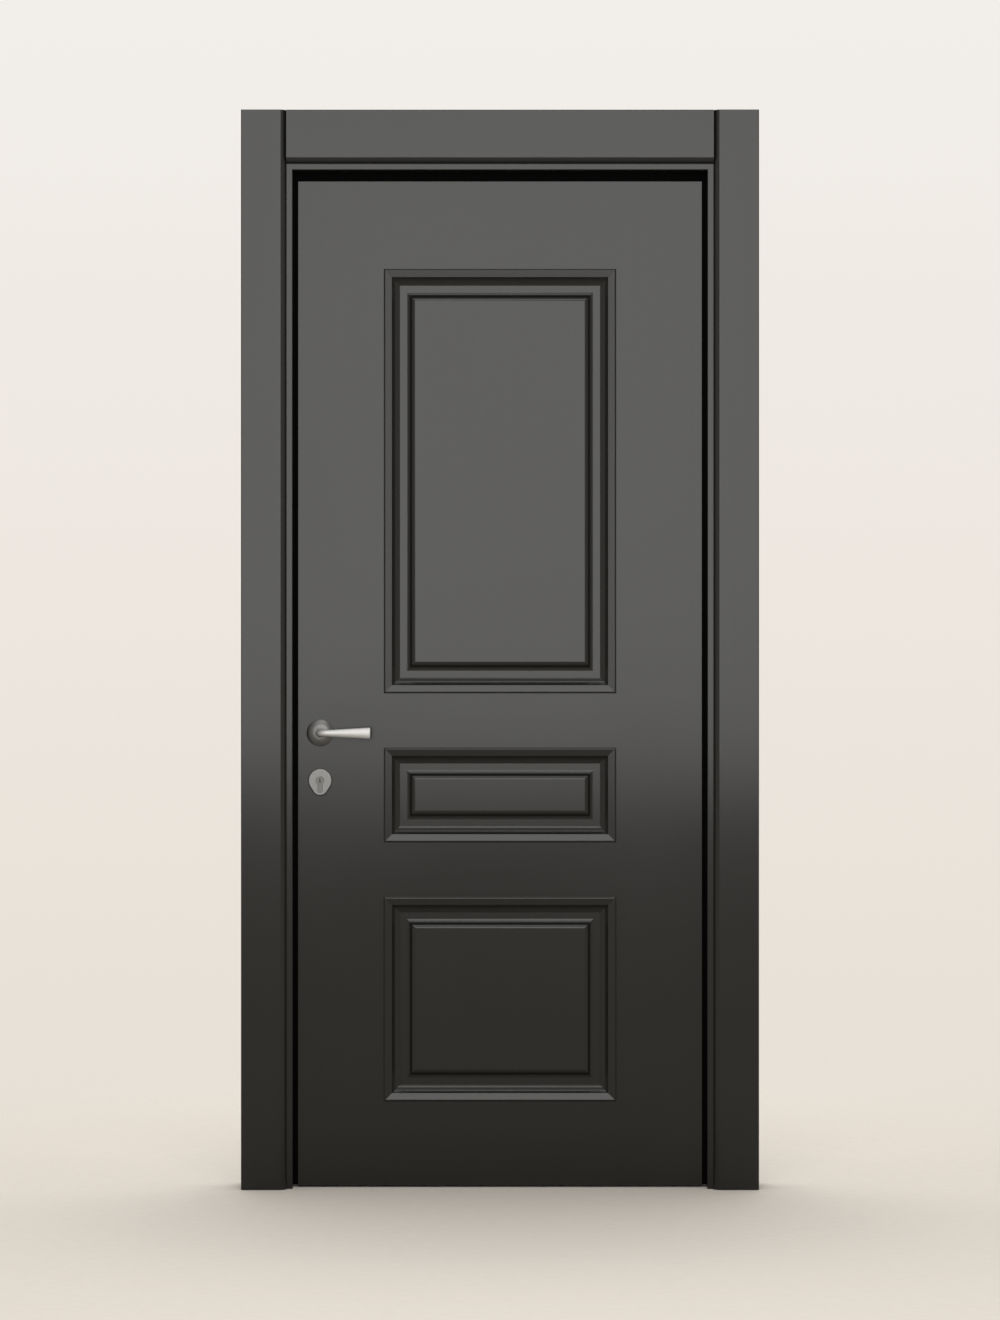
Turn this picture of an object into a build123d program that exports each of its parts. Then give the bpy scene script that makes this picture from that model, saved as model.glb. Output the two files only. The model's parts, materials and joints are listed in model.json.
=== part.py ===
"""Three-panel rebated door leaf in a mitred jamb, with casings, hinges, a mortise lock and lever handles."""

import math
import os

from build123d import *

os.makedirs("parts", exist_ok=True)

# X runs across the doorway to the hinge side, Y through the wall away from the viewer, Z up from the floor.
# X = 0 is the middle of the doorway and Y = 0 the middle plane of the leaf.

# Leaf faces, as they show between the dark bands
stile_face = 176.0
top_rail_face = 180.0
cross_rail_face = 111.0
bottom_rail_face = 172.0
panel_width = 474.0
upper_panel_height = 865.5
middle_panel_height = 193.0
lower_panel_height = 417.0

# Leaf thickness and its rebate
leaf_thickness = 50.0
flange_thickness = 36.0
stop_overlap = 15.0
edge_gap = 3.5
floor_gap = 4.0
leaf_arris = 1.5

# Jamb and casings
side_band = 9.0
head_band = 19.5
jamb_depth = 75.0
jamb_thickness = 44.0
jamb_arris = 2.0
lip_reveal = 12.0
back_reveal = 10.0
casing_width = 92.0
head_casing_width = 108.5
casing_thickness = 18.0
casing_roundover = 15.0
casing_arris = 2.0

# Fixing holes through the jamb
fixing_radius = 3.75
fixing_sink_radius = 8.0
fixing_sink_depth = 9.0
fixing_from_hinge = 164.0
fixing_from_middle = 370.0

# Panel joinery
moulding_overlap = 14.0
moulding_width = 32.5
moulding_rise = 7.5
moulding_bead = 3.5
moulding_break_width = 16.5
moulding_break_rise = 5.0
moulding_foot = 3.0
moulding_hollow = 1.6
mitre_gap = 0.1
panel_recess = 12.0
panel_flat = 13.5
bevel_width = 18.5
bevel_rise = 10.0
groove_width = 14.0
groove_depth = 12.0
tongue_depth = 10.0

# Rebate seal
seal_thickness = 4.0
seal_gap = 0.3
seal_cover = 8.0
seal_round = 1.2
seal_kerf_width = 3.0
seal_kerf_depth = 6.0

# Butt hinges
hinge_height = 102.0
hinge_plate_width = 30.0
hinge_plate_thickness = 2.5
hinge_knuckle_radius = 6.5
hinge_knuckle_count = 5
hinge_knuckle_gap = 0.4
hinge_pin_radius = 3.0
hinge_pin_head_height = 3.0
hinge_pin_head_round = 1.0
hinge_from_top = 200.0
hinge_from_bottom = 250.0
hinge_screw_shares = ((0.33, 0.38), (0.70, 0.14), (0.70, -0.14), (0.33, -0.38))

# Countersunk wood screws
screw_radius = 2.1
screw_head_radius = 4.2
screw_head_height = 2.2
screw_length = 20.0
screw_hole_clearance = 0.15

# Mortise lock
backset = 70.0
lever_height = 927.0
key_drop = 97.0
case_thickness = 16.0
case_wall = 2.0
case_depth = 100.0
case_above_lever = 45.0
case_below_key = 45.0
faceplate_width = 22.0
faceplate_thickness = 3.0
faceplate_margin = 21.0
faceplate_screw_inset = 9.0
latch_throw = 11.5
latch_tail = 42.0
latch_height = 28.0
latch_nose = 3.0
latch_flat = 1.0
dead_throw = 20.0
dead_tail = 42.0
dead_height = 34.0
follower_radius = 15.0
follower_hub_radius = 10.0
follower_nose_width = 9.0
follower_nose_length = 24.0
spindle_bore_radius = 12.5

# Strike plate
strike_width = 24.0
strike_thickness = 2.5
strike_corner = 4.0
strike_lip_height = 44.0
bolt_hole_clearance = 1.2
pocket_end_clearance = 1.5

# Lever handle and rose
rose_radius = 27.5
rose_rim = 3.0
rose_thickness = 8.5
rose_crown = 1.6
spindle_size = 8.0
spindle_engagement = 20.0
neck_radius = 9.0
neck_collar = 12.0
elbow_radius = 14.0
bar_radius = 7.0
lever_reach = 48.0
lever_length = 104.0
grip_end_height = 24.0
grip_end_thickness = 12.0
grip_end_round_share = 0.8

# Key cylinder and escutcheon
escutcheon_top_radius = 24.5
escutcheon_foot_radius = 17.0
escutcheon_foot_drop = 14.0
escutcheon_thickness = 8.0
escutcheon_round = 2.5
cylinder_radius = 8.5
cylinder_web_width = 10.0
cylinder_web_drop = 24.5
cylinder_bridge_drop = 16.0
plug_radius = 6.5
keyway_width = 2.4
keyway_height = 8.6
keyway_depth = 14.0
cam_thickness = 10.0
cam_radius = 8.0
cam_nose_radius = 15.0
cam_nose_width = 7.0
cam_gap = 10.6

# Fits
running_clearance = 0.06
slide_clearance = 0.3
let_in_clearance = 0.2
face_gap = 0.4
overrun = 5.0

# Places worked out from the sizes above
leaf_half = leaf_thickness / 2
shoulder_y = leaf_half - flange_thickness
stop_back_y = shoulder_y - seal_thickness - seal_gap
jamb_back_y = leaf_half
jamb_front_y = jamb_back_y - jamb_depth

moulding_x = panel_width / 2
opening_x = moulding_x - moulding_overlap
front_x = moulding_x + stile_face
lip_x = front_x + side_band
leaf_x = lip_x + stop_overlap
rebate_x = leaf_x + edge_gap
jamb_x = lip_x + jamb_thickness
casing_x = lip_x + lip_reveal
casing_outer_x = casing_x + casing_width
back_casing_x = rebate_x + back_reveal

lower_panel_z = floor_gap + bottom_rail_face
middle_panel_z = lower_panel_z + lower_panel_height + cross_rail_face
upper_panel_z = middle_panel_z + middle_panel_height + cross_rail_face
front_top_z = upper_panel_z + upper_panel_height + top_rail_face
lip_z = front_top_z + head_band
leaf_top_z = lip_z + stop_overlap
rebate_z = leaf_top_z + edge_gap
jamb_top_z = lip_z + jamb_thickness
casing_z = lip_z + lip_reveal
back_casing_z = rebate_z + back_reveal
casing_top_z = casing_z + head_casing_width

panel_spans = {
    "upper": (upper_panel_z, upper_panel_z + upper_panel_height),
    "middle": (middle_panel_z, middle_panel_z + middle_panel_height),
    "lower": (lower_panel_z, lower_panel_z + lower_panel_height),
}

pin_x = (leaf_x + rebate_x) / 2
pin_y = leaf_half + hinge_knuckle_radius + hinge_knuckle_gap
bottom_hinge_z = floor_gap + hinge_from_bottom
top_hinge_z = leaf_top_z - hinge_from_top
middle_hinge_z = (bottom_hinge_z + top_hinge_z) / 2
hinge_heights = {"top": top_hinge_z, "middle": middle_hinge_z, "bottom": bottom_hinge_z}
fixing_heights = (
    bottom_hinge_z + fixing_from_hinge,
    middle_hinge_z - fixing_from_middle,
    middle_hinge_z + fixing_from_middle,
    top_hinge_z - fixing_from_hinge,
)

lock_y = (shoulder_y + leaf_half) / 2
lever_x = backset - leaf_x
key_z = lever_height - key_drop
case_low_z = key_z - case_below_key
case_high_z = lever_height + case_above_lever
case_front_x = faceplate_thickness - leaf_x
case_middle_z = (case_low_z + case_high_z) / 2
case_height = case_high_z - case_low_z
case_room = case_thickness - 2 * case_wall
bolt_thickness = case_room - 2 * slide_clearance
faceplate_height = case_height + 2 * faceplate_margin
faceplate_screw_reach = faceplate_height / 2 - faceplate_screw_inset


def save(piece, name):
    """Labels a finished piece and writes it as one node."""
    piece.part.label = name
    export_step(piece.part, f"parts/{name}.step")


def corner_rectangle(low, high, mode=Mode.ADD):
    """Rectangle between two opposite corners, in the sketch's own plane."""
    with Locations(((low[0] + high[0]) / 2, (low[1] + high[1]) / 2)):
        Rectangle(abs(high[0] - low[0]), abs(high[1] - low[1]), mode=mode)


def screw_group(planes):
    """Countersunk wood screws, one for each plane, with their heads flush with it."""
    with BuildPart() as screws:
        with Locations(*planes):
            Cylinder(screw_radius, screw_length, align=(Align.CENTER, Align.CENTER, Align.MAX))
            Cone(
                screw_radius,
                screw_head_radius,
                screw_head_height,
                align=(Align.CENTER, Align.CENTER, Align.MAX),
            )
    return screws


def cut_screw_seats(planes):
    """Clearance holes and countersinks for those screws, in the part being built."""
    with Locations(*planes):
        Hole(screw_radius + screw_hole_clearance, depth=screw_length + overrun)
        Cone(
            screw_radius + screw_hole_clearance,
            screw_head_radius + screw_hole_clearance,
            screw_head_height,
            align=(Align.CENTER, Align.CENTER, Align.MAX),
            mode=Mode.SUBTRACT,
        )


def across_plane(x, y, z, facing):
    """Plane on a face that looks along X, towards facing."""
    return Plane(origin=(x, y, z), x_dir=(0, 1, 0), z_dir=(facing, 0, 0))


# Jamb: a rebated lining, mitred at the top corners
def mitre_plane(side):
    return Plane(origin=(side * lip_x, 0, lip_z), x_dir=(0, 1, 0), z_dir=(-side, 0, 1))


def side_jamb(side):
    with BuildPart() as jamb:
        with BuildSketch(Plane.XY) as section:
            with BuildLine():
                Polyline(
                    (side * lip_x, jamb_front_y),
                    (side * jamb_x, jamb_front_y),
                    (side * jamb_x, jamb_back_y),
                    (side * rebate_x, jamb_back_y),
                    (side * rebate_x, stop_back_y),
                    (side * lip_x, stop_back_y),
                    close=True,
                )
            make_face()
            fillet(section.vertices().sort_by_distance((side * lip_x, jamb_front_y))[0], jamb_arris)
        extrude(amount=jamb_top_z)
        split(bisect_by=mitre_plane(side), keep=Keep.BOTTOM)
        with Locations(*[across_plane(side * rebate_x, lock_y, z, -side) for z in fixing_heights]):
            CounterBoreHole(fixing_radius, fixing_sink_radius, fixing_sink_depth, depth=jamb_thickness)
    return jamb.part


with BuildPart() as jamb_head:
    with BuildSketch(Plane.YZ) as head_section:
        with BuildLine():
            Polyline(
                (jamb_front_y, lip_z),
                (jamb_front_y, jamb_top_z),
                (jamb_back_y, jamb_top_z),
                (jamb_back_y, rebate_z),
                (stop_back_y, rebate_z),
                (stop_back_y, lip_z),
                close=True,
            )
        make_face()
        fillet(head_section.vertices().sort_by_distance((jamb_front_y, lip_z))[0], jamb_arris)
    extrude(amount=jamb_x, both=True)
    for side in (-1, 1):
        split(bisect_by=mitre_plane(side), keep=Keep.TOP)
save(jamb_head, "jamb_head")


# Casings: full-height legs with the head piece butted between them
def limited_roundover():
    return min(casing_roundover, casing_thickness - casing_arris / 2)


def casing_leg(side, face, inner_x):
    wall_y = jamb_front_y if face < 0 else jamb_back_y
    show_y = wall_y + face * casing_thickness
    with BuildPart() as leg:
        with BuildSketch(Plane.XY) as section:
            corner_rectangle((side * inner_x, wall_y), (side * casing_outer_x, show_y))
            fillet(section.vertices().sort_by_distance((side * inner_x, show_y))[0], limited_roundover())
            fillet(section.vertices().sort_by_distance((side * casing_outer_x, show_y))[0], casing_arris)
        extrude(amount=casing_top_z)
    return leg


def casing_head(face, inner_x, low_z):
    wall_y = jamb_front_y if face < 0 else jamb_back_y
    show_y = wall_y + face * casing_thickness
    with BuildPart() as head:
        with BuildSketch(Plane.YZ) as section:
            corner_rectangle((wall_y, low_z), (show_y, casing_top_z))
            fillet(section.vertices().sort_by_distance((show_y, low_z))[0], limited_roundover())
            fillet(section.vertices().sort_by_distance((show_y, casing_top_z))[0], casing_arris)
        extrude(amount=inner_x, both=True)
    return head


for place, face, inner_x, low_z in (
    ("front", -1, casing_x, casing_z),
    ("back", 1, back_casing_x, back_casing_z),
):
    save(casing_leg(-1, face, inner_x), f"casing_{place}_lock_side")
    save(casing_leg(1, face, inner_x), f"casing_{place}_hinge_side")
    save(casing_head(face, inner_x, low_z), f"casing_{place}_head")


# Leaf frame: rebated stiles and rails with a groove round each panel opening
def leaf_blank(low, high, front_low, front_high):
    """Rear flange and narrower front part of a stile or rail, as two steps of one solid."""
    with BuildPart() as blank:
        with BuildSketch(Plane.XZ.offset(-leaf_half)):
            corner_rectangle(low, high)
        extrude(amount=flange_thickness)
        with BuildSketch(Plane.XZ.offset(-shoulder_y)):
            corner_rectangle(front_low, front_high)
        extrude(amount=leaf_thickness - flange_thickness)
    return blank.part


seal_inner_x = front_x + let_in_clearance
seal_outer_x = lip_x + seal_cover
seal_kerf_x = (seal_inner_x + seal_outer_x) / 2
seal_low_z = front_top_z + let_in_clearance
seal_high_z = lip_z + seal_cover
seal_kerf_z = (seal_low_z + seal_high_z) / 2


def cut_head_kerf():
    """Kerf for the head seal, in the shoulder of the part being built."""
    with BuildSketch(Plane.XZ.offset(-shoulder_y)) as kerf:
        corner_rectangle(
            (-seal_outer_x, seal_kerf_z - seal_kerf_width / 2),
            (seal_outer_x, seal_kerf_z + seal_kerf_width / 2),
        )
    extrude(kerf.sketch, amount=-seal_kerf_depth, mode=Mode.SUBTRACT)


def stile(side):
    blank = leaf_blank(
        (side * opening_x, floor_gap),
        (side * leaf_x, leaf_top_z),
        (side * opening_x, floor_gap),
        (side * front_x, front_top_z),
    )
    with BuildPart() as member:
        add(blank)
        with BuildSketch(Plane.XY):
            corner_rectangle(
                (side * opening_x, -groove_width / 2),
                (side * (opening_x + groove_depth), groove_width / 2),
            )
        extrude(amount=casing_top_z, mode=Mode.SUBTRACT)
        with BuildSketch(Plane.XZ.offset(-shoulder_y)):
            corner_rectangle(
                (side * (seal_kerf_x - seal_kerf_width / 2), 0),
                (side * (seal_kerf_x + seal_kerf_width / 2), front_top_z),
            )
        extrude(amount=-seal_kerf_depth, mode=Mode.SUBTRACT)
        cut_head_kerf()
        corner = (side * front_x, -leaf_half, front_top_z)
        outer_edges = member.edges().sort_by_distance(corner)
        fillet([outer_edges.filter_by(axis)[0] for axis in (Axis.Z, Axis.X)], leaf_arris)
    return member.part


def rail(low_z, high_z, panel_below, panel_above):
    """Rail between the stiles, with end tongues and a groove along each edge that holds a panel."""
    front_high = min(high_z, front_top_z)
    tongue_low = low_z + (groove_depth if panel_below else 0)
    tongue_high = high_z - (groove_depth if panel_above else 0)
    blank = leaf_blank(
        (-opening_x, low_z),
        (opening_x, high_z),
        (-opening_x, low_z),
        (opening_x, front_high),
    )
    with BuildPart() as member:
        add(blank)
        with BuildSketch(Plane.YZ):
            corner_rectangle(
                (let_in_clearance - groove_width / 2, tongue_low),
                (groove_width / 2 - let_in_clearance, tongue_high),
            )
        extrude(amount=opening_x + tongue_depth, both=True)
        with BuildSketch(Plane.YZ) as grooves:
            for edge_z, inward, holds_panel in ((low_z, 1, panel_below), (high_z, -1, panel_above)):
                if holds_panel:
                    corner_rectangle(
                        (-groove_width / 2, edge_z),
                        (groove_width / 2, edge_z + inward * groove_depth),
                    )
        if grooves.faces():
            extrude(amount=opening_x + groove_depth, both=True, mode=Mode.SUBTRACT)
        if high_z > front_top_z:
            cut_head_kerf()
            top_edge = member.edges().filter_by(Axis.X).sort_by_distance((0, -leaf_half, front_top_z))[0]
            fillet(top_edge, leaf_arris)
    return member


def opening_span(name):
    """Lowest and highest edge of a panel's opening between the rails."""
    low_z, high_z = panel_spans[name]
    return low_z + moulding_overlap, high_z - moulding_overlap


upper_low, upper_high = opening_span("upper")
middle_low, middle_high = opening_span("middle")
lower_low, lower_high = opening_span("lower")
save(rail(upper_high, leaf_top_z, True, False), "rail_top")
save(rail(middle_high, upper_low, True, True), "rail_upper_cross")
save(rail(lower_high, middle_low, True, True), "rail_lower_cross")
save(rail(floor_gap, lower_low, False, True), "rail_bottom")


def mitred_lengths(outline, half_x, low_z, high_z, seat_y, gap):
    """Four lengths of one section round a rectangle on the front, drawn inwards from its edge and mitred."""
    corners = [
        Vector(x, seat_y, z)
        for x, z in ((-half_x, low_z), (half_x, low_z), (half_x, high_z), (-half_x, high_z))
    ]
    inwards = (Vector(0, 0, 1), Vector(-1, 0, 0), Vector(0, 0, -1), Vector(1, 0, 0))
    lengths = []
    for index, inward in enumerate(inwards):
        start = corners[index]
        end = corners[(index + 1) % len(corners)]
        along = (end - start).normalized()
        facing = inward.cross(Vector(0, -1, 0))
        with BuildPart() as length:
            with BuildSketch(Plane(origin=(start + end) / 2, x_dir=inward, z_dir=facing)):
                make_face(outline)
            extrude(amount=(end - start).length / 2, both=True)
            for corner, out in ((start, -along), (end, along)):
                split(bisect_by=Plane(origin=corner - out * gap, z_dir=inward + out), keep=Keep.BOTTOM)
        lengths.append(length.part)
    return lengths


# Raised and fielded panels that float in the grooves
def bevel_outline():
    """Section of the bevel round a raised field: an S of two arcs, hollow below and round above."""
    middle = (bevel_width / 2, bevel_rise / 2)
    slope = 2 * math.atan2(bevel_rise, bevel_width)
    with BuildLine() as outline:
        TangentArc((0, 0), middle, tangent=(1, 0))
        TangentArc(middle, (bevel_width, bevel_rise), tangent=(math.cos(slope), math.sin(slope)))
        Polyline((bevel_width, bevel_rise), (bevel_width, 0), (0, 0))
    return outline.edges()


margin_half = leaf_half - panel_recess
bevel_inset = moulding_width + panel_flat - moulding_overlap


def raised_field(low_z, high_z):
    """Field on the front of a panel, for the opening between two heights."""
    foot_x = opening_x - bevel_inset
    foot_low = low_z + bevel_inset
    foot_high = high_z - bevel_inset
    with BuildPart() as field:
        add(mitred_lengths(bevel_outline(), foot_x, foot_low, foot_high, -margin_half, 0))
        with BuildSketch(Plane.XZ.offset(margin_half)):
            corner_rectangle(
                (bevel_width - foot_x, foot_low + bevel_width),
                (foot_x - bevel_width, foot_high - bevel_width),
            )
        extrude(amount=bevel_rise)
    return field.part


def panel(name):
    low_z, high_z = opening_span(name)
    field = raised_field(low_z, high_z)
    with BuildPart() as board:
        with BuildSketch(Plane.XZ):
            corner_rectangle(
                (-opening_x - tongue_depth, low_z - tongue_depth),
                (opening_x + tongue_depth, high_z + tongue_depth),
            )
        extrude(amount=groove_width / 2 - let_in_clearance, both=True)
        with BuildSketch(Plane.XZ):
            corner_rectangle(
                (let_in_clearance - opening_x, low_z + let_in_clearance),
                (opening_x - let_in_clearance, high_z - let_in_clearance),
            )
        extrude(amount=margin_half, both=True)
        add(field)
        mirror(field, about=Plane.XZ)
    return board


for name in panel_spans:
    save(panel(name), f"panel_{name}")


# Bolection mouldings: four mitred lengths round each panel
def moulding_outline():
    """Section of the moulding: a bead at its outer edge, a slope, and a hollow down to the panel."""
    seat = moulding_overlap + let_in_clearance
    foot_rise = moulding_foot - panel_recess
    with BuildLine() as outline:
        Line((0, 0), (0, moulding_rise - moulding_bead))
        RadiusArc((0, moulding_rise - moulding_bead), (moulding_bead, moulding_rise), moulding_bead)
        Line((moulding_bead, moulding_rise), (moulding_break_width, moulding_break_rise))
        SagittaArc(
            (moulding_break_width, moulding_break_rise),
            (moulding_width, foot_rise),
            -moulding_hollow,
        )
        Polyline(
            (moulding_width, foot_rise),
            (moulding_width, -panel_recess),
            (seat, -panel_recess),
            (seat, 0),
            (0, 0),
        )
    return outline.edges()


for name, (low_z, high_z) in panel_spans.items():
    with BuildPart() as moulding_front:
        add(mitred_lengths(moulding_outline(), moulding_x, low_z, high_z, -leaf_half, mitre_gap))
    save(moulding_front, f"moulding_{name}_front")
    with BuildPart() as moulding_back:
        mirror(moulding_front.part, about=Plane.XZ)
    save(moulding_back, f"moulding_{name}_back")


# Black rebate seals, tongued into a kerf in the leaf's shoulder
def side_seal(side):
    with BuildPart() as seal:
        with BuildSketch(Plane.XY.offset(floor_gap)) as section:
            corner_rectangle(
                (side * seal_inner_x, shoulder_y),
                (side * seal_outer_x, shoulder_y - seal_thickness),
            )
            fillet(section.vertices().group_by(Axis.Y)[0], seal_round)
            corner_rectangle(
                (side * seal_kerf_x - seal_kerf_width / 2 + let_in_clearance, shoulder_y),
                (
                    side * seal_kerf_x + seal_kerf_width / 2 - let_in_clearance,
                    shoulder_y + seal_kerf_depth - let_in_clearance,
                ),
            )
        extrude(amount=front_top_z - floor_gap)
    return seal


save(side_seal(-1), "seal_lock_side")
save(side_seal(1), "seal_hinge_side")

with BuildPart() as seal_head:
    with BuildSketch(Plane.YZ) as head_seal_section:
        corner_rectangle((shoulder_y, seal_low_z), (shoulder_y - seal_thickness, seal_high_z))
        fillet(head_seal_section.vertices().group_by(Axis.X)[0], seal_round)
        corner_rectangle(
            (shoulder_y, seal_kerf_z - seal_kerf_width / 2 + let_in_clearance),
            (
                shoulder_y + seal_kerf_depth - let_in_clearance,
                seal_kerf_z + seal_kerf_width / 2 - let_in_clearance,
            ),
        )
    extrude(amount=seal_outer_x - let_in_clearance, both=True)
save(seal_head, "seal_head")


# Butt hinges: the frame half carries the odd knuckles and the pin, the door half the even ones
def hinge_screw_planes(face_x, facing, middle_z):
    return [
        across_plane(
            face_x,
            leaf_half - across * hinge_plate_width,
            middle_z + along * hinge_height,
            facing,
        )
        for across, along in hinge_screw_shares
    ]


def hinge_half(face_x, facing, middle_z, first_knuckle):
    """Plate let in behind face_x, whose visible side looks towards facing, with every other knuckle."""
    back_x = face_x - facing * hinge_plate_thickness
    knuckle_pitch = (hinge_height + hinge_knuckle_gap) / hinge_knuckle_count
    with BuildPart() as half:
        with BuildSketch(Plane.XY.offset(middle_z - hinge_height / 2)):
            corner_rectangle((face_x, leaf_half - hinge_plate_width), (back_x, leaf_half))
        extrude(amount=hinge_height)
        for index in range(first_knuckle, hinge_knuckle_count, 2):
            with BuildSketch(Plane.XY.offset(middle_z - hinge_height / 2 + index * knuckle_pitch)):
                corner_rectangle((face_x, leaf_half), (back_x, pin_y))
                with Locations((pin_x, pin_y)):
                    Circle(hinge_knuckle_radius)
                    Circle(hinge_pin_radius + running_clearance, mode=Mode.SUBTRACT)
            extrude(amount=knuckle_pitch - hinge_knuckle_gap)
        cut_screw_seats(hinge_screw_planes(face_x, facing, middle_z))
    return half


def hinge_pin(middle_z):
    top_z = middle_z + hinge_height / 2
    with BuildPart() as pin:
        with BuildSketch(Plane.XY.offset(top_z)):
            with Locations((pin_x, pin_y)):
                Circle(hinge_knuckle_radius)
        extrude(amount=hinge_pin_head_height)
        fillet(pin.edges().group_by(Axis.Z)[-1], hinge_pin_head_round)
        with BuildSketch(Plane.XY.offset(top_z)):
            with Locations((pin_x, pin_y)):
                Circle(hinge_pin_radius)
        extrude(amount=-hinge_height)
    return pin


frame_hinge_planes = []
door_hinge_planes = []
for name, middle_z in hinge_heights.items():
    save(hinge_half(rebate_x, -1, middle_z, 0), f"hinge_{name}_frame_half")
    save(hinge_half(leaf_x, 1, middle_z, 1), f"hinge_{name}_door_half")
    save(hinge_pin(middle_z), f"hinge_{name}_pin")
    frame_hinge_planes += hinge_screw_planes(rebate_x, -1, middle_z)
    door_hinge_planes += hinge_screw_planes(leaf_x, 1, middle_z)
save(screw_group(frame_hinge_planes), "hinge_frame_screws")
save(screw_group(door_hinge_planes), "hinge_door_screws")


def hinge_recesses():
    """Outlines of the let-in hinge plates, on a plane that looks along X."""
    with Locations(*[(leaf_half - hinge_plate_width / 2, z) for z in hinge_heights.values()]):
        Rectangle(hinge_plate_width + 2 * let_in_clearance, hinge_height + 2 * let_in_clearance)


with BuildPart() as jamb_hinge_side:
    add(side_jamb(1))
    with BuildSketch(Plane.YZ.offset(rebate_x)):
        hinge_recesses()
    extrude(amount=hinge_plate_thickness, mode=Mode.SUBTRACT)
    with Locations(*frame_hinge_planes):
        Hole(screw_radius + screw_hole_clearance, depth=screw_length + let_in_clearance)
save(jamb_hinge_side, "jamb_hinge_side")

with BuildPart() as stile_hinge_side:
    add(stile(1))
    with BuildSketch(Plane.YZ.offset(leaf_x)):
        hinge_recesses()
    extrude(amount=-hinge_plate_thickness, mode=Mode.SUBTRACT)
    with Locations(*door_hinge_planes):
        Hole(screw_radius + screw_hole_clearance, depth=screw_length + let_in_clearance)
save(stile_hinge_side, "stile_hinge_side")


# Mortise lock
bolts = ((lever_height, latch_height), (key_z, dead_height))
faceplate_screw_planes = [
    across_plane(-leaf_x, lock_y, case_middle_z + end * faceplate_screw_reach, -1) for end in (-1, 1)
]
strike_screw_planes = [
    across_plane(-rebate_x, lock_y, case_middle_z + end * faceplate_screw_reach, 1) for end in (-1, 1)
]


def faceplate_outline(grow):
    with Locations((lock_y, case_middle_z)):
        SlotOverall(faceplate_height + 2 * grow, faceplate_width + 2 * grow, rotation=90)


def strike_outline(grow):
    with Locations((lock_y, case_middle_z)):
        RectangleRounded(strike_width + 2 * grow, faceplate_height + 2 * grow, strike_corner)
    corner_rectangle(
        (lock_y, lever_height - strike_lip_height / 2 - grow),
        (jamb_back_y, lever_height + strike_lip_height / 2 + grow),
    )


def bolt_outlines(grow, mode):
    for middle_z, height in bolts:
        with Locations((lock_y, middle_z)):
            Rectangle(bolt_thickness + 2 * grow, height + 2 * grow, mode=mode)


def cylinder_outline(grow, mode=Mode.ADD):
    """Profile of the key cylinder in a plane that looks along Y: a round barrel over a narrower web."""
    with Locations((lever_x, key_z)):
        Circle(cylinder_radius + grow, mode=mode)
    web_half = cylinder_web_width / 2 + grow
    foot_z = key_z - cylinder_web_drop + cylinder_web_width / 2
    corner_rectangle((lever_x - web_half, foot_z), (lever_x + web_half, key_z), mode=mode)
    with Locations((lever_x, foot_z)):
        Circle(web_half, mode=mode)


with BuildPart() as lock_faceplate:
    with BuildSketch(Plane.YZ.offset(-leaf_x)):
        faceplate_outline(0)
        bolt_outlines(slide_clearance, Mode.SUBTRACT)
    extrude(amount=faceplate_thickness)
    cut_screw_seats(faceplate_screw_planes)
save(lock_faceplate, "lock_faceplate")
save(screw_group(faceplate_screw_planes), "lock_faceplate_screws")

with BuildPart() as lock_case:
    with BuildSketch(Plane.YZ.offset(case_front_x)):
        with Locations((lock_y, case_middle_z)):
            Rectangle(case_thickness, case_height)
    extrude(amount=case_depth)
    with BuildSketch(Plane.YZ.offset(case_front_x)):
        with Locations((lock_y, case_middle_z)):
            Rectangle(case_room, case_height - 2 * case_wall)
    extrude(amount=case_depth - case_wall, mode=Mode.SUBTRACT)
    with BuildSketch(Plane.XZ):
        with Locations((lever_x, lever_height)):
            Circle(follower_hub_radius + running_clearance)
        cylinder_outline(slide_clearance)
    extrude(amount=leaf_thickness, both=True, mode=Mode.SUBTRACT)
save(lock_case, "lock_case")

with BuildPart() as latch_bolt:
    with BuildSketch(Plane.XY.offset(lever_height - latch_height / 2)):
        with BuildLine():
            Polyline(
                (latch_tail - leaf_x, lock_y - bolt_thickness / 2),
                (latch_tail - leaf_x, lock_y + bolt_thickness / 2),
                (-leaf_x - latch_throw, lock_y + bolt_thickness / 2),
                (-leaf_x - latch_throw, lock_y + bolt_thickness / 2 - latch_nose),
                (-leaf_x - latch_flat, lock_y - bolt_thickness / 2),
                close=True,
            )
        make_face()
    extrude(amount=latch_height)
save(latch_bolt, "latch_bolt")

with BuildPart() as dead_bolt:
    with BuildSketch(Plane.YZ.offset(-leaf_x)):
        with Locations((lock_y, key_z)):
            Rectangle(bolt_thickness, dead_height)
    extrude(amount=dead_tail)
save(dead_bolt, "dead_bolt")

with BuildPart() as lock_follower:
    with BuildSketch(Plane.XZ.offset(-lock_y)):
        with Locations((lever_x, lever_height)):
            Circle(follower_hub_radius)
    extrude(amount=case_thickness / 2, both=True)
    with BuildSketch(Plane.XZ.offset(-lock_y)):
        with Locations((lever_x, lever_height)):
            Circle(follower_radius)
        corner_rectangle(
            (lever_x - follower_nose_width / 2, lever_height),
            (lever_x + follower_nose_width / 2, lever_height + follower_nose_length),
        )
    extrude(amount=bolt_thickness / 2, both=True)
    with BuildSketch(Plane.XZ.offset(-lock_y)):
        with Locations((lever_x, lever_height)):
            Rectangle(spindle_size + 2 * running_clearance, spindle_size + 2 * running_clearance)
    extrude(amount=case_thickness, both=True, mode=Mode.SUBTRACT)
save(lock_follower, "lock_follower")

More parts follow.
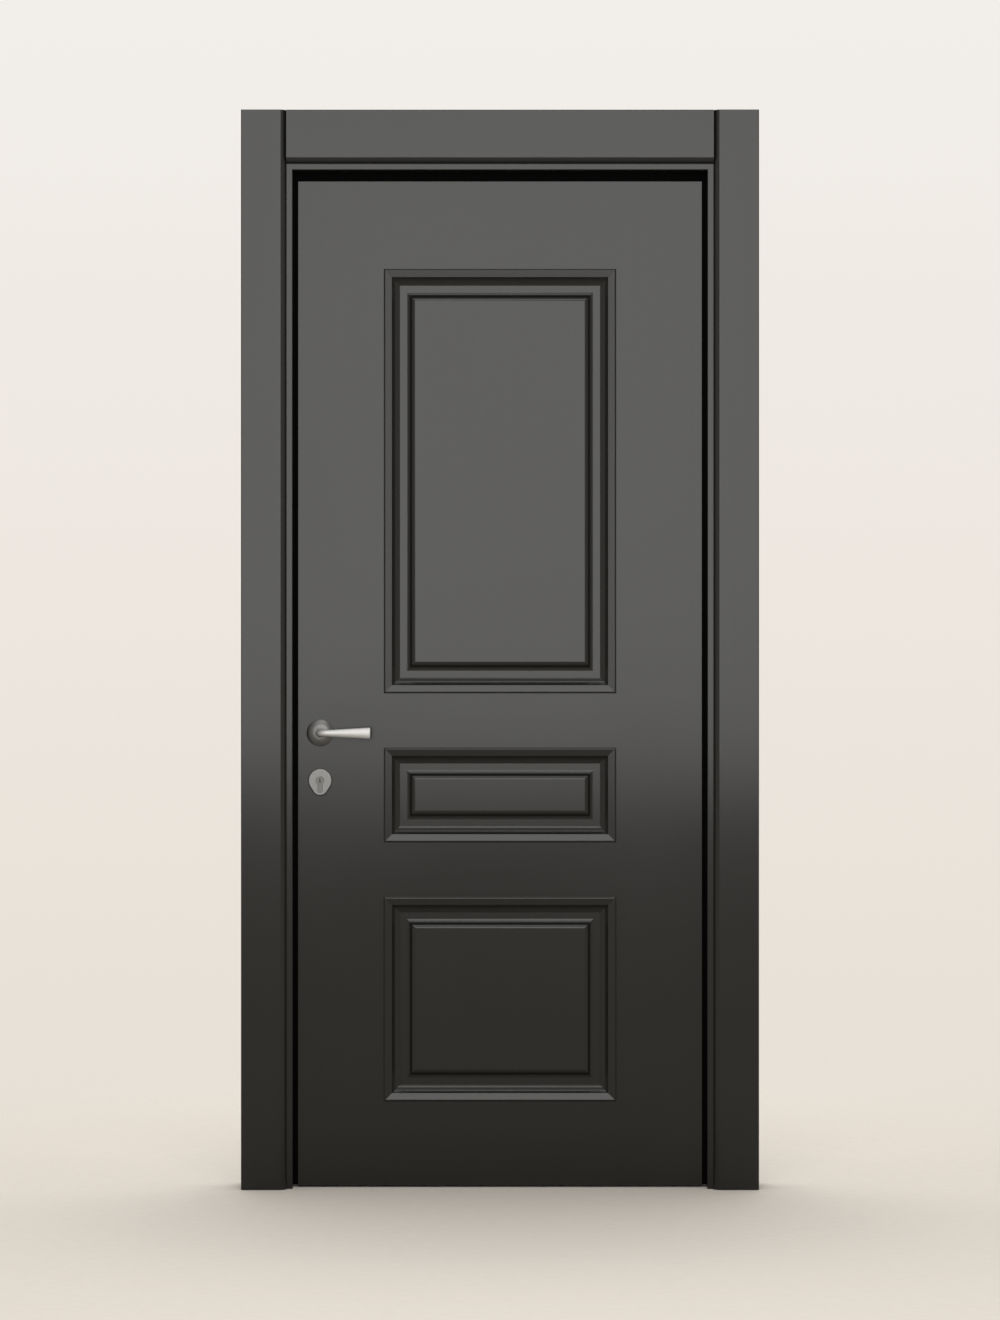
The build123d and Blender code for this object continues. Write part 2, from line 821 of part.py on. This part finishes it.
with BuildPart() as stile_lock_side:
    add(stile(-1))
    with BuildSketch(Plane.YZ.offset(-leaf_x)):
        faceplate_outline(let_in_clearance)
    extrude(amount=faceplate_thickness, mode=Mode.SUBTRACT)
    with BuildSketch(Plane.YZ.offset(case_front_x)):
        with Locations((lock_y, case_middle_z)):
            Rectangle(case_thickness + 2 * let_in_clearance, case_height + 2 * let_in_clearance)
    extrude(amount=case_depth + let_in_clearance, mode=Mode.SUBTRACT)
    with BuildSketch(Plane.XZ):
        with Locations((lever_x, lever_height)):
            Circle(spindle_bore_radius)
        cylinder_outline(slide_clearance)
    extrude(amount=leaf_thickness, both=True, mode=Mode.SUBTRACT)
    with Locations(*faceplate_screw_planes):
        Hole(screw_radius + screw_hole_clearance, depth=screw_length + let_in_clearance)
save(stile_lock_side, "stile_lock_side")


# Strike plate, let into the lock side jamb over a pocket for each bolt
with BuildPart() as strike_plate:
    with BuildSketch(Plane.YZ.offset(-rebate_x)):
        strike_outline(0)
        bolt_outlines(bolt_hole_clearance, Mode.SUBTRACT)
    extrude(amount=-strike_thickness)
    cut_screw_seats(strike_screw_planes)
save(strike_plate, "strike_plate")
save(screw_group(strike_screw_planes), "strike_plate_screws")

with BuildPart() as jamb_lock_side:
    add(side_jamb(-1))
    with BuildSketch(Plane.YZ.offset(-rebate_x)):
        strike_outline(let_in_clearance)
    extrude(amount=-strike_thickness, mode=Mode.SUBTRACT)
    with BuildSketch(Plane.YZ.offset(-rebate_x)):
        bolt_outlines(bolt_hole_clearance, Mode.ADD)
    extrude(amount=edge_gap - dead_throw - pocket_end_clearance, mode=Mode.SUBTRACT)
    with Locations(*strike_screw_planes):
        Hole(screw_radius + screw_hole_clearance, depth=screw_length + let_in_clearance)
save(jamb_lock_side, "jamb_lock_side")


# Lever handles on domed round roses, joined by a square spindle
lever_axis = Axis((lever_x, 0, lever_height), (0, -1, 0))
rose_bore = neck_radius + running_clearance

with BuildPart() as rose_front:
    with BuildSketch(Plane(origin=(lever_x, -leaf_half, lever_height), x_dir=(1, 0, 0), z_dir=(0, 0, -1))):
        with BuildLine():
            Polyline((rose_bore, rose_thickness), (rose_bore, 0), (rose_radius, 0), (rose_radius, rose_rim))
            SagittaArc((rose_radius, rose_rim), (rose_bore, rose_thickness), -rose_crown)
        make_face()
    revolve(axis=lever_axis)
save(rose_front, "rose_front")

neck_plane = Plane(
    origin=(lever_x, -leaf_half - face_gap, lever_height),
    x_dir=(1, 0, 0),
    z_dir=(0, -1, 0),
)
grip_y = bar_radius - leaf_half - lever_reach
elbow_y = grip_y + elbow_radius
neck_height = -leaf_half - face_gap - elbow_y
elbow_x = lever_x + elbow_radius
tip_x = lever_x + lever_length
tip_round = grip_end_round_share * grip_end_thickness**2 / (2 * grip_end_height)

with BuildPart() as lever_front:
    with Locations(neck_plane):
        Cylinder(neck_radius, neck_collar, align=(Align.CENTER, Align.CENTER, Align.MIN))
    with Locations(neck_plane.offset(neck_collar)):
        Cone(
            neck_radius,
            bar_radius,
            neck_height - neck_collar,
            align=(Align.CENTER, Align.CENTER, Align.MIN),
        )
    with BuildSketch(neck_plane.offset(neck_height)):
        Circle(bar_radius)
    revolve(axis=Axis((elbow_x, elbow_y, lever_height), (0, 0, 1)), revolution_arc=90)
    with BuildSketch(Plane(origin=(elbow_x, grip_y, lever_height), x_dir=(0, 0, 1), z_dir=(1, 0, 0))):
        Circle(bar_radius)
    with BuildSketch(Plane(origin=(tip_x, grip_y, lever_height), x_dir=(0, 0, 1), z_dir=(1, 0, 0))):
        Ellipse(grip_end_height / 2, grip_end_thickness / 2)
    loft()
    fillet(lever_front.edges().group_by(Axis.X)[-1], tip_round)
    with BuildSketch(neck_plane):
        Rectangle(spindle_size + 2 * running_clearance, spindle_size + 2 * running_clearance)
    extrude(amount=spindle_engagement, mode=Mode.SUBTRACT)
save(lever_front, "lever_front")

with BuildPart() as spindle:
    with BuildSketch(Plane.XZ):
        with Locations((lever_x, lever_height)):
            Rectangle(spindle_size, spindle_size)
    extrude(amount=leaf_half + spindle_engagement, both=True)
save(spindle, "spindle")


# Key cylinder with its escutcheons
cylinder_half = leaf_half + escutcheon_thickness

with BuildPart() as escutcheon_front:
    with BuildSketch(Plane.XZ.offset(leaf_half)):
        with Locations((lever_x, key_z)):
            Circle(escutcheon_top_radius)
        with Locations((lever_x, key_z - escutcheon_foot_drop)):
            Circle(escutcheon_foot_radius)
        make_hull()
    extrude(amount=escutcheon_thickness)
    fillet(escutcheon_front.edges().group_by(Axis.Y)[0], escutcheon_round)
    with BuildSketch(Plane.XZ.offset(leaf_half)):
        cylinder_outline(slide_clearance)
    extrude(amount=escutcheon_thickness, mode=Mode.SUBTRACT)
save(escutcheon_front, "escutcheon_front")

with BuildPart() as cylinder_body:
    with BuildSketch(Plane.XZ):
        cylinder_outline(0)
        with Locations((lever_x, key_z)):
            Circle(plug_radius + running_clearance, mode=Mode.SUBTRACT)
    extrude(amount=cylinder_half, both=True)
    with BuildSketch(Plane.XZ.offset(-lock_y)):
        corner_rectangle(
            (lever_x - cylinder_radius - overrun, key_z - cylinder_bridge_drop),
            (lever_x + cylinder_radius + overrun, key_z + cylinder_radius + overrun),
        )
    extrude(amount=cam_gap / 2, both=True, mode=Mode.SUBTRACT)
save(cylinder_body, "cylinder_body")


def key_plug(face):
    """Plug from one end of the cylinder to the cam, with its keyway."""
    cam_y = lock_y + face * cam_gap / 2
    facing = Plane(origin=(lever_x, face * cylinder_half, key_z), x_dir=(1, 0, 0), z_dir=(0, face, 0))
    with BuildPart() as plug:
        with BuildSketch(facing):
            Circle(plug_radius)
        extrude(amount=-abs(face * cylinder_half - cam_y))
        with BuildSketch(facing):
            Rectangle(keyway_width, keyway_height)
        extrude(amount=-keyway_depth, mode=Mode.SUBTRACT)
    return plug


save(key_plug(-1), "key_plug_front")
save(key_plug(1), "key_plug_back")

with BuildPart() as cylinder_cam:
    with BuildSketch(Plane.XZ.offset(-lock_y)):
        with Locations((lever_x, key_z)):
            Circle(cam_radius)
        nose_z = key_z - cam_nose_radius + cam_nose_width / 2
        corner_rectangle((lever_x - cam_nose_width / 2, nose_z), (lever_x + cam_nose_width / 2, key_z))
        with Locations((lever_x, nose_z)):
            Circle(cam_nose_width / 2)
    extrude(amount=cam_thickness / 2, both=True)
save(cylinder_cam, "cylinder_cam")


# Back of the leaf: the same furniture, mirrored in the leaf's middle plane
for name, front in (("rose", rose_front), ("lever", lever_front), ("escutcheon", escutcheon_front)):
    with BuildPart() as back:
        mirror(front.part, about=Plane.XZ)
    save(back, f"{name}_back")
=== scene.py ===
"""Lacquered panel door in its frame: finishes, stage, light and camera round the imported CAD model."""

import json
import math

import bpy
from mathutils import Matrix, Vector


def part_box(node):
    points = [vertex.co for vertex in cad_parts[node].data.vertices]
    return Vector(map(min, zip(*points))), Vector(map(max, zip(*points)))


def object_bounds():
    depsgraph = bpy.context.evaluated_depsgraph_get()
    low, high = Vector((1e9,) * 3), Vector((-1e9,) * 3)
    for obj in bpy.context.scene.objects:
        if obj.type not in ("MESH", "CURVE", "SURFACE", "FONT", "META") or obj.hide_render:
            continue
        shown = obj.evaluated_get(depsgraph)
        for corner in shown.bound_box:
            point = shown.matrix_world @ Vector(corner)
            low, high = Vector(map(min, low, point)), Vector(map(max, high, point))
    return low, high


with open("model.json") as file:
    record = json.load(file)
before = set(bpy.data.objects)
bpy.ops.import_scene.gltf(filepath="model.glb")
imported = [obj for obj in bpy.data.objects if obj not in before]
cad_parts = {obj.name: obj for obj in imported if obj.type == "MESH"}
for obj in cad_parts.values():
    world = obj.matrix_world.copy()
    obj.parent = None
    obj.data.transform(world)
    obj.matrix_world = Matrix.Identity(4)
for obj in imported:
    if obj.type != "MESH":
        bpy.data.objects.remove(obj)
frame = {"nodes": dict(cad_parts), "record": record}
cad_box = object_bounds()
scene = bpy.context.scene

# Framing, read from the photograph: metres a pixel on the front of the casings
photo_height = 1320
metres_a_pixel = 0.00203
floor_pixel = 1190
camera_distance = 8.0
sensor = 36.0

# How far the levers stand out before the casings, in metres
lever_lead = 0.005

# Colours, linear, each from its darker to its lighter tone
lacquer_tones = (0.0123, 0.0122, 0.0107), (0.0142, 0.0141, 0.0124)
rubber_tones = (0.0012, 0.0012, 0.0012), (0.0025, 0.0025, 0.0025)
chrome_tones = (0.420, 0.420, 0.413), (0.470, 0.470, 0.463)
steel_tones = (0.50, 0.50, 0.49), (0.60, 0.60, 0.59)
brass_tones = (0.079, 0.078, 0.074), (0.094, 0.092, 0.087)
# The rose's nickel is the escutcheon's nickel made darker: painted shade for the domed rose's darker reflection.
rose_painted_shade_tones = (0.081, 0.081, 0.079), (0.100, 0.100, 0.098)
escutcheon_tones = (0.110, 0.110, 0.107), (0.135, 0.135, 0.132)
zinc_tones = (0.40, 0.41, 0.43), (0.52, 0.53, 0.55)
floor_tones = (0.760, 0.700, 0.622), (0.790, 0.728, 0.650)
backdrop_tones = (0.784, 0.723, 0.645), (0.888, 0.855, 0.815)
ambient = (0.39, 0.39, 0.39)

# Grain, brush lines and blemishes, in cycles a metre
pores_along, pores_across = 6.0, 420.0
figure_along, figure_across = 1.5, 45.0
lacquer_cloud, lacquer_peel = 2.2, 260.0
rubber_grit = 900.0
lines_along_x = (25.0, 900.0, 900.0)
lines_along_y = (800.0, 25.0, 800.0)
lines_along_z = (900.0, 900.0, 25.0)
turned_rings = (2600.0, 1.0, 1.0)
brushed_smudge, turned_smudge = 35.0, 60.0
zinc_spangle, zinc_cloud = 140.0, 50.0
floor_grain = 40.0

# Depths of the finest relief, in metres
pore_depth = 0.00003
peel_depth = 0.00002
grit_depth = 0.00005
line_depth = 0.00001

# Roughness: from the glossiest to the dullest spot, or about a middle value
lacquer_rough = 0.16, 0.19
rubber_rough = 0.70, 0.85
zinc_rough = 0.38, 0.50
chrome_rough = 0.60
steel_rough = 0.34
brass_rough = 0.36
nickel_rough = 0.36
floor_rough = 0.90

# Specular levels, where a common plastic has 0.5
lacquer_gloss = 0.25
rubber_gloss = 0.02

# Floor, in metres: its edge, how far it lies below the door's foot, and where its fading starts and ends
floor_radius = 2.8
floor_sides = 96
floor_drop = 0.0005
fade_start, fade_end = 0.9, 2.3

# The backdrop changes tone from this far below the horizon to as far above it, as the sine of the elevation
backdrop_span = 0.16

# Edges of the soft box before the door, in metres above the floor
front_low, front_high = 0.70, 3.25

# Values between which most of a noise lies
noise_low, noise_high = 0.3, 0.7


# Nodes
def new_material(name):
    """Empty node material with its Principled shader."""
    material = bpy.data.materials.new(name)
    material.use_nodes = True
    return material, material.node_tree, material.node_tree.nodes["Principled BSDF"]


def add_node(tree, kind, **settings):
    node = tree.nodes.new(kind)
    for key, value in settings.items():
        setattr(node, key, value)
    return node


def noise(tree, vector, cycles, detail=2.0):
    """Noise with the given cycles a metre, one number for all axes or one for each."""
    mapping = add_node(tree, "ShaderNodeMapping")
    mapping.inputs["Scale"].default_value = cycles if isinstance(cycles, tuple) else (cycles, cycles, cycles)
    texture = add_node(tree, "ShaderNodeTexNoise")
    texture.inputs["Scale"].default_value = 1.0
    texture.inputs["Detail"].default_value = detail
    texture.inputs["Roughness"].default_value = 0.5
    tree.links.new(vector, mapping.inputs["Vector"])
    tree.links.new(mapping.outputs["Vector"], texture.inputs["Vector"])
    return texture.outputs["Fac"]


def spread(tree, value, low, high, start=noise_low, end=noise_high):
    """Value remapped from start..end to low..high."""
    node = add_node(tree, "ShaderNodeMapRange")
    node.inputs["From Min"].default_value = start
    node.inputs["From Max"].default_value = end
    node.inputs["To Min"].default_value = low
    node.inputs["To Max"].default_value = high
    tree.links.new(value, node.inputs["Value"])
    return node.outputs["Result"]


def two_tone(tree, value, tones, start=noise_low, end=noise_high):
    """Colour that runs from the darker to the lighter tone with value."""
    dark, light = tones
    ramp = add_node(tree, "ShaderNodeValToRGB")
    ramp.color_ramp.elements[0].position = start
    ramp.color_ramp.elements[0].color = (*dark, 1.0)
    ramp.color_ramp.elements[1].position = end
    ramp.color_ramp.elements[1].color = (*light, 1.0)
    tree.links.new(value, ramp.inputs["Fac"])
    return ramp.outputs["Color"]


def bump(tree, height, depth, strength, normal=None):
    """Bump of the given depth in metres, over an earlier bump if there is one."""
    node = add_node(tree, "ShaderNodeBump")
    node.inputs["Strength"].default_value = strength
    node.inputs["Distance"].default_value = depth
    tree.links.new(height, node.inputs["Height"])
    if normal is not None:
        tree.links.new(normal, node.inputs["Normal"])
    return node.outputs["Normal"]


def object_vector(tree):
    return add_node(tree, "ShaderNodeTexCoord").outputs["Object"]


def mixed(tree, first, second, share):
    """Two values mixed, share of the second."""
    node = add_node(tree, "ShaderNodeMix", data_type="FLOAT")
    node.inputs["Factor"].default_value = share
    tree.links.new(first, node.inputs["A"])
    tree.links.new(second, node.inputs["B"])
    return node.outputs["Result"]


# Finishes
def lacquer(name, along):
    """Satin lacquer sprayed over close-grained wood whose grain runs along one axis."""
    material, tree, shader = new_material(name)
    place = object_vector(tree)
    fine = tuple(pores_along if axis == along else pores_across for axis in range(3))
    broad = tuple(figure_along if axis == along else figure_across for axis in range(3))
    pores = noise(tree, place, fine, detail=3.0)
    figure = noise(tree, place, broad)
    cloud = noise(tree, place, lacquer_cloud)
    peel = noise(tree, place, lacquer_peel, detail=1.0)
    tone = mixed(tree, mixed(tree, pores, figure, share=0.5), cloud, share=0.45)
    tree.links.new(two_tone(tree, tone, lacquer_tones), shader.inputs["Base Color"])
    tree.links.new(spread(tree, cloud, *lacquer_rough), shader.inputs["Roughness"])
    relief = bump(tree, peel, peel_depth, strength=0.6)
    relief = bump(tree, pores, pore_depth, strength=0.6, normal=relief)
    tree.links.new(relief, shader.inputs["Normal"])
    shader.inputs["Specular IOR Level"].default_value = lacquer_gloss
    return material


def rubber():
    """Matt black rubber."""
    material, tree, shader = new_material("seal_rubber")
    grit = noise(tree, object_vector(tree), rubber_grit, detail=3.0)
    tree.links.new(two_tone(tree, grit, rubber_tones), shader.inputs["Base Color"])
    tree.links.new(spread(tree, grit, *rubber_rough), shader.inputs["Roughness"])
    tree.links.new(bump(tree, grit, grit_depth, strength=0.5), shader.inputs["Normal"])
    shader.inputs["Specular IOR Level"].default_value = rubber_gloss
    return material


def brushed_metal(name, tones, rough, line_cycles):
    """Metal with fine brush lines, which run along the axis with the fewest cycles."""
    material, tree, shader = new_material(name)
    place = object_vector(tree)
    lines = noise(tree, place, line_cycles, detail=3.0)
    smudge = noise(tree, place, brushed_smudge)
    tone = mixed(tree, lines, smudge, share=0.35)
    tree.links.new(two_tone(tree, tone, tones), shader.inputs["Base Color"])
    tree.links.new(spread(tree, tone, low=rough - 0.04, high=rough + 0.04), shader.inputs["Roughness"])
    tree.links.new(bump(tree, lines, line_depth, strength=0.5), shader.inputs["Normal"])
    shader.inputs["Metallic"].default_value = 1.0
    return material


def turned_metal(name, centre, tones, rough):
    """Metal with fine rings turned about an axis along Y through centre."""
    material, tree, shader = new_material(name)
    place = object_vector(tree)
    offset = add_node(tree, "ShaderNodeVectorMath", operation="SUBTRACT")
    offset.inputs[1].default_value = centre
    flat = add_node(tree, "ShaderNodeVectorMath", operation="MULTIPLY")
    flat.inputs[1].default_value = (1.0, 0.0, 1.0)
    radius = add_node(tree, "ShaderNodeVectorMath", operation="LENGTH")
    tree.links.new(place, offset.inputs[0])
    tree.links.new(offset.outputs["Vector"], flat.inputs[0])
    tree.links.new(flat.outputs["Vector"], radius.inputs[0])
    along = add_node(tree, "ShaderNodeCombineXYZ")
    tree.links.new(radius.outputs["Value"], along.inputs["X"])
    rings = noise(tree, along.outputs["Vector"], turned_rings)
    smudge = noise(tree, place, turned_smudge)
    tone = mixed(tree, rings, smudge, share=0.4)
    tree.links.new(two_tone(tree, tone, tones), shader.inputs["Base Color"])
    tree.links.new(spread(tree, tone, low=rough - 0.04, high=rough + 0.05), shader.inputs["Roughness"])
    tree.links.new(bump(tree, rings, line_depth, strength=0.5), shader.inputs["Normal"])
    shader.inputs["Metallic"].default_value = 1.0
    return material


def zinc():
    """Zinc plated sheet with a faint spangle."""
    material, tree, shader = new_material("lock_zinc")
    place = object_vector(tree)
    cells = add_node(tree, "ShaderNodeTexVoronoi")
    cells.inputs["Scale"].default_value = zinc_spangle
    tree.links.new(place, cells.inputs["Vector"])
    tone = mixed(tree, cells.outputs["Distance"], noise(tree, place, zinc_cloud), share=0.5)
    tree.links.new(two_tone(tree, tone, zinc_tones), shader.inputs["Base Color"])
    tree.links.new(spread(tree, tone, *zinc_rough), shader.inputs["Roughness"])
    shader.inputs["Metallic"].default_value = 1.0
    return material


def middle(node):
    """Middle of a CAD node's box."""
    low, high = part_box(node)
    return (Vector(low) + Vector(high)) / 2


axis_x, axis_z = 0, 2
upright = lacquer("anthracite_lacquer_upright", along=axis_z)
level = lacquer("anthracite_lacquer_level", along=axis_x)
finishes = {
    "seal_rubber": rubber(),
    "satin_chrome": brushed_metal("satin_chrome", chrome_tones, chrome_rough, lines_along_x),
    "hardware_steel": brushed_metal("hardware_steel", steel_tones, steel_rough, lines_along_z),
    "cylinder_brass": brushed_metal("cylinder_brass", brass_tones, brass_rough, lines_along_y),
    "lock_zinc": zinc(),
}
# Nickel for the rose and the escutcheon; the rose's copy is darker, painted shade.
nickel = {
    "rose": turned_metal("satin_nickel_rose_painted_shade", middle("rose_front"), rose_painted_shade_tones, nickel_rough),
    "escutcheon": turned_metal(
        "satin_nickel_escutcheon", middle("escutcheon_front"), escutcheon_tones, nickel_rough
    ),
}


def finish_for(node, slot):
    """Finish of a CAD node: its slot's, with the wood's grain along the piece and rings about its own plate, and
    the rose's nickel a darker copy as painted shade.
    """
    if slot == "anthracite_lacquer":
        return level if node.startswith("rail_") or node.endswith("_head") else upright
    if slot == "satin_nickel":
        return nickel[node.split("_")[0]]
    return finishes[slot]


for row in frame["record"]["subparts"]:
    for material_slot in frame["nodes"][row["node"]].material_slots:
        material_slot.material = finish_for(row["node"], row["material_slot"])


# Stage: a round pale floor that fades out into the background
def floor_material():
    material, tree, shader = new_material("pale_floor")
    place = object_vector(tree)
    grain = noise(tree, place, floor_grain)
    tree.links.new(two_tone(tree, grain, floor_tones), shader.inputs["Base Color"])
    shader.inputs["Roughness"].default_value = floor_rough
    shader.inputs["Specular IOR Level"].default_value = 0.0
    reach = add_node(tree, "ShaderNodeVectorMath", operation="LENGTH")
    tree.links.new(place, reach.inputs[0])
    fade = spread(tree, reach.outputs["Value"], low=0.0, high=1.0, start=fade_start, end=fade_end)
    clear = add_node(tree, "ShaderNodeBsdfTransparent")
    blend = add_node(tree, "ShaderNodeMixShader")
    tree.links.new(fade, blend.inputs["Fac"])
    tree.links.new(shader.outputs["BSDF"], blend.inputs[1])
    tree.links.new(clear.outputs["BSDF"], blend.inputs[2])
    tree.links.new(blend.outputs["Shader"], tree.nodes["Material Output"].inputs["Surface"])
    return material


ring = [2 * math.pi * i / floor_sides for i in range(floor_sides)]
floor_mesh = bpy.data.meshes.new("floor")
floor_mesh.from_pydata(
    [(floor_radius * math.cos(a), floor_radius * math.sin(a), 0.0) for a in ring],
    [],
    [list(range(floor_sides))],
)
floor = bpy.data.objects.new("floor", floor_mesh)
floor.location.z = -floor_drop
floor_mesh.materials.append(floor_material())
scene.collection.objects.link(floor)


# World: plain soft light, with the pale backdrop for what looks straight at it or reflects it
def make_world():
    world = bpy.data.worlds.new("studio")
    world.use_nodes = True
    tree = world.node_tree
    background = tree.nodes["Background"]
    direction = add_node(tree, "ShaderNodeTexCoord").outputs["Generated"]
    split = add_node(tree, "ShaderNodeSeparateXYZ")
    tree.links.new(direction, split.inputs["Vector"])
    rise = spread(tree, split.outputs["Z"], low=0.0, high=1.0, start=-backdrop_span, end=backdrop_span)
    backdrop = two_tone(tree, rise, backdrop_tones, start=0.0, end=1.0)
    rays = add_node(tree, "ShaderNodeLightPath")
    seen = add_node(tree, "ShaderNodeMath", operation="ADD")
    seen_all = add_node(tree, "ShaderNodeMath", operation="ADD", use_clamp=True)
    tree.links.new(rays.outputs["Is Camera Ray"], seen.inputs[0])
    tree.links.new(rays.outputs["Is Glossy Ray"], seen.inputs[1])
    tree.links.new(seen.outputs["Value"], seen_all.inputs[0])
    tree.links.new(rays.outputs["Is Transmission Ray"], seen_all.inputs[1])
    choose = add_node(tree, "ShaderNodeMix", data_type="RGBA")
    choose.inputs["A"].default_value = (*ambient, 1.0)
    tree.links.new(seen_all.outputs["Value"], choose.inputs["Factor"])
    tree.links.new(backdrop, choose.inputs["B"])
    tree.links.new(choose.outputs["Result"], background.inputs["Color"])
    background.inputs["Strength"].default_value = 1.0
    scene.world = world


make_world()


# Soft boxes: one before the door, whose lower edge shows in the lacquer, one above it that only reflections show,
# one overhead and one behind
def soft_box(name, width, height, place, tilt, power, reflection_only=False):
    """Area lamp that the camera doesn't see, in metres and watts, tilted in degrees from facing down."""
    light = bpy.data.lights.new(name, "AREA")
    light.shape = "RECTANGLE"
    light.size = width
    light.size_y = height
    light.energy = power
    box = bpy.data.objects.new(name, light)
    box.location = place
    box.rotation_euler = (math.radians(tilt), 0.0, 0.0)
    box.visible_camera = False
    box.visible_diffuse = not reflection_only
    scene.collection.objects.link(box)


front_height = front_high - front_low
front_place = (0.0, -4.0, (front_low + front_high) / 2)
soft_box("front_soft_box", width=2.6, height=front_height, place=front_place, tilt=90.0, power=94.0)
soft_box(
    "upper_front_soft_box",
    width=2.6,
    height=1.4,
    place=(0.0, -2.2, 3.9),
    tilt=90.0,
    power=48.0,
    reflection_only=True,
)
soft_box("top_soft_box", width=3.0, height=3.0, place=(0.0, 1.0, 4.6), tilt=0.0, power=110.0)
soft_box("back_soft_box", width=2.6, height=1.9, place=(0.0, 4.0, 1.45), tilt=-90.0, power=52.0)

# Camera, square on to the door
casing_front = cad_box[0].y + lever_lead
view_height = photo_height * metres_a_pixel
camera_data = bpy.data.cameras.new("camera")
camera_data.sensor_width = sensor
camera_data.lens = sensor * camera_distance / view_height
camera = bpy.data.objects.new("camera", camera_data)
camera.location = (0.0, casing_front - camera_distance, (floor_pixel - photo_height / 2) * metres_a_pixel)
camera.rotation_euler = (math.radians(90.0), 0.0, 0.0)
scene.collection.objects.link(camera)
scene.camera = camera

scene.view_settings.view_transform = "Standard"
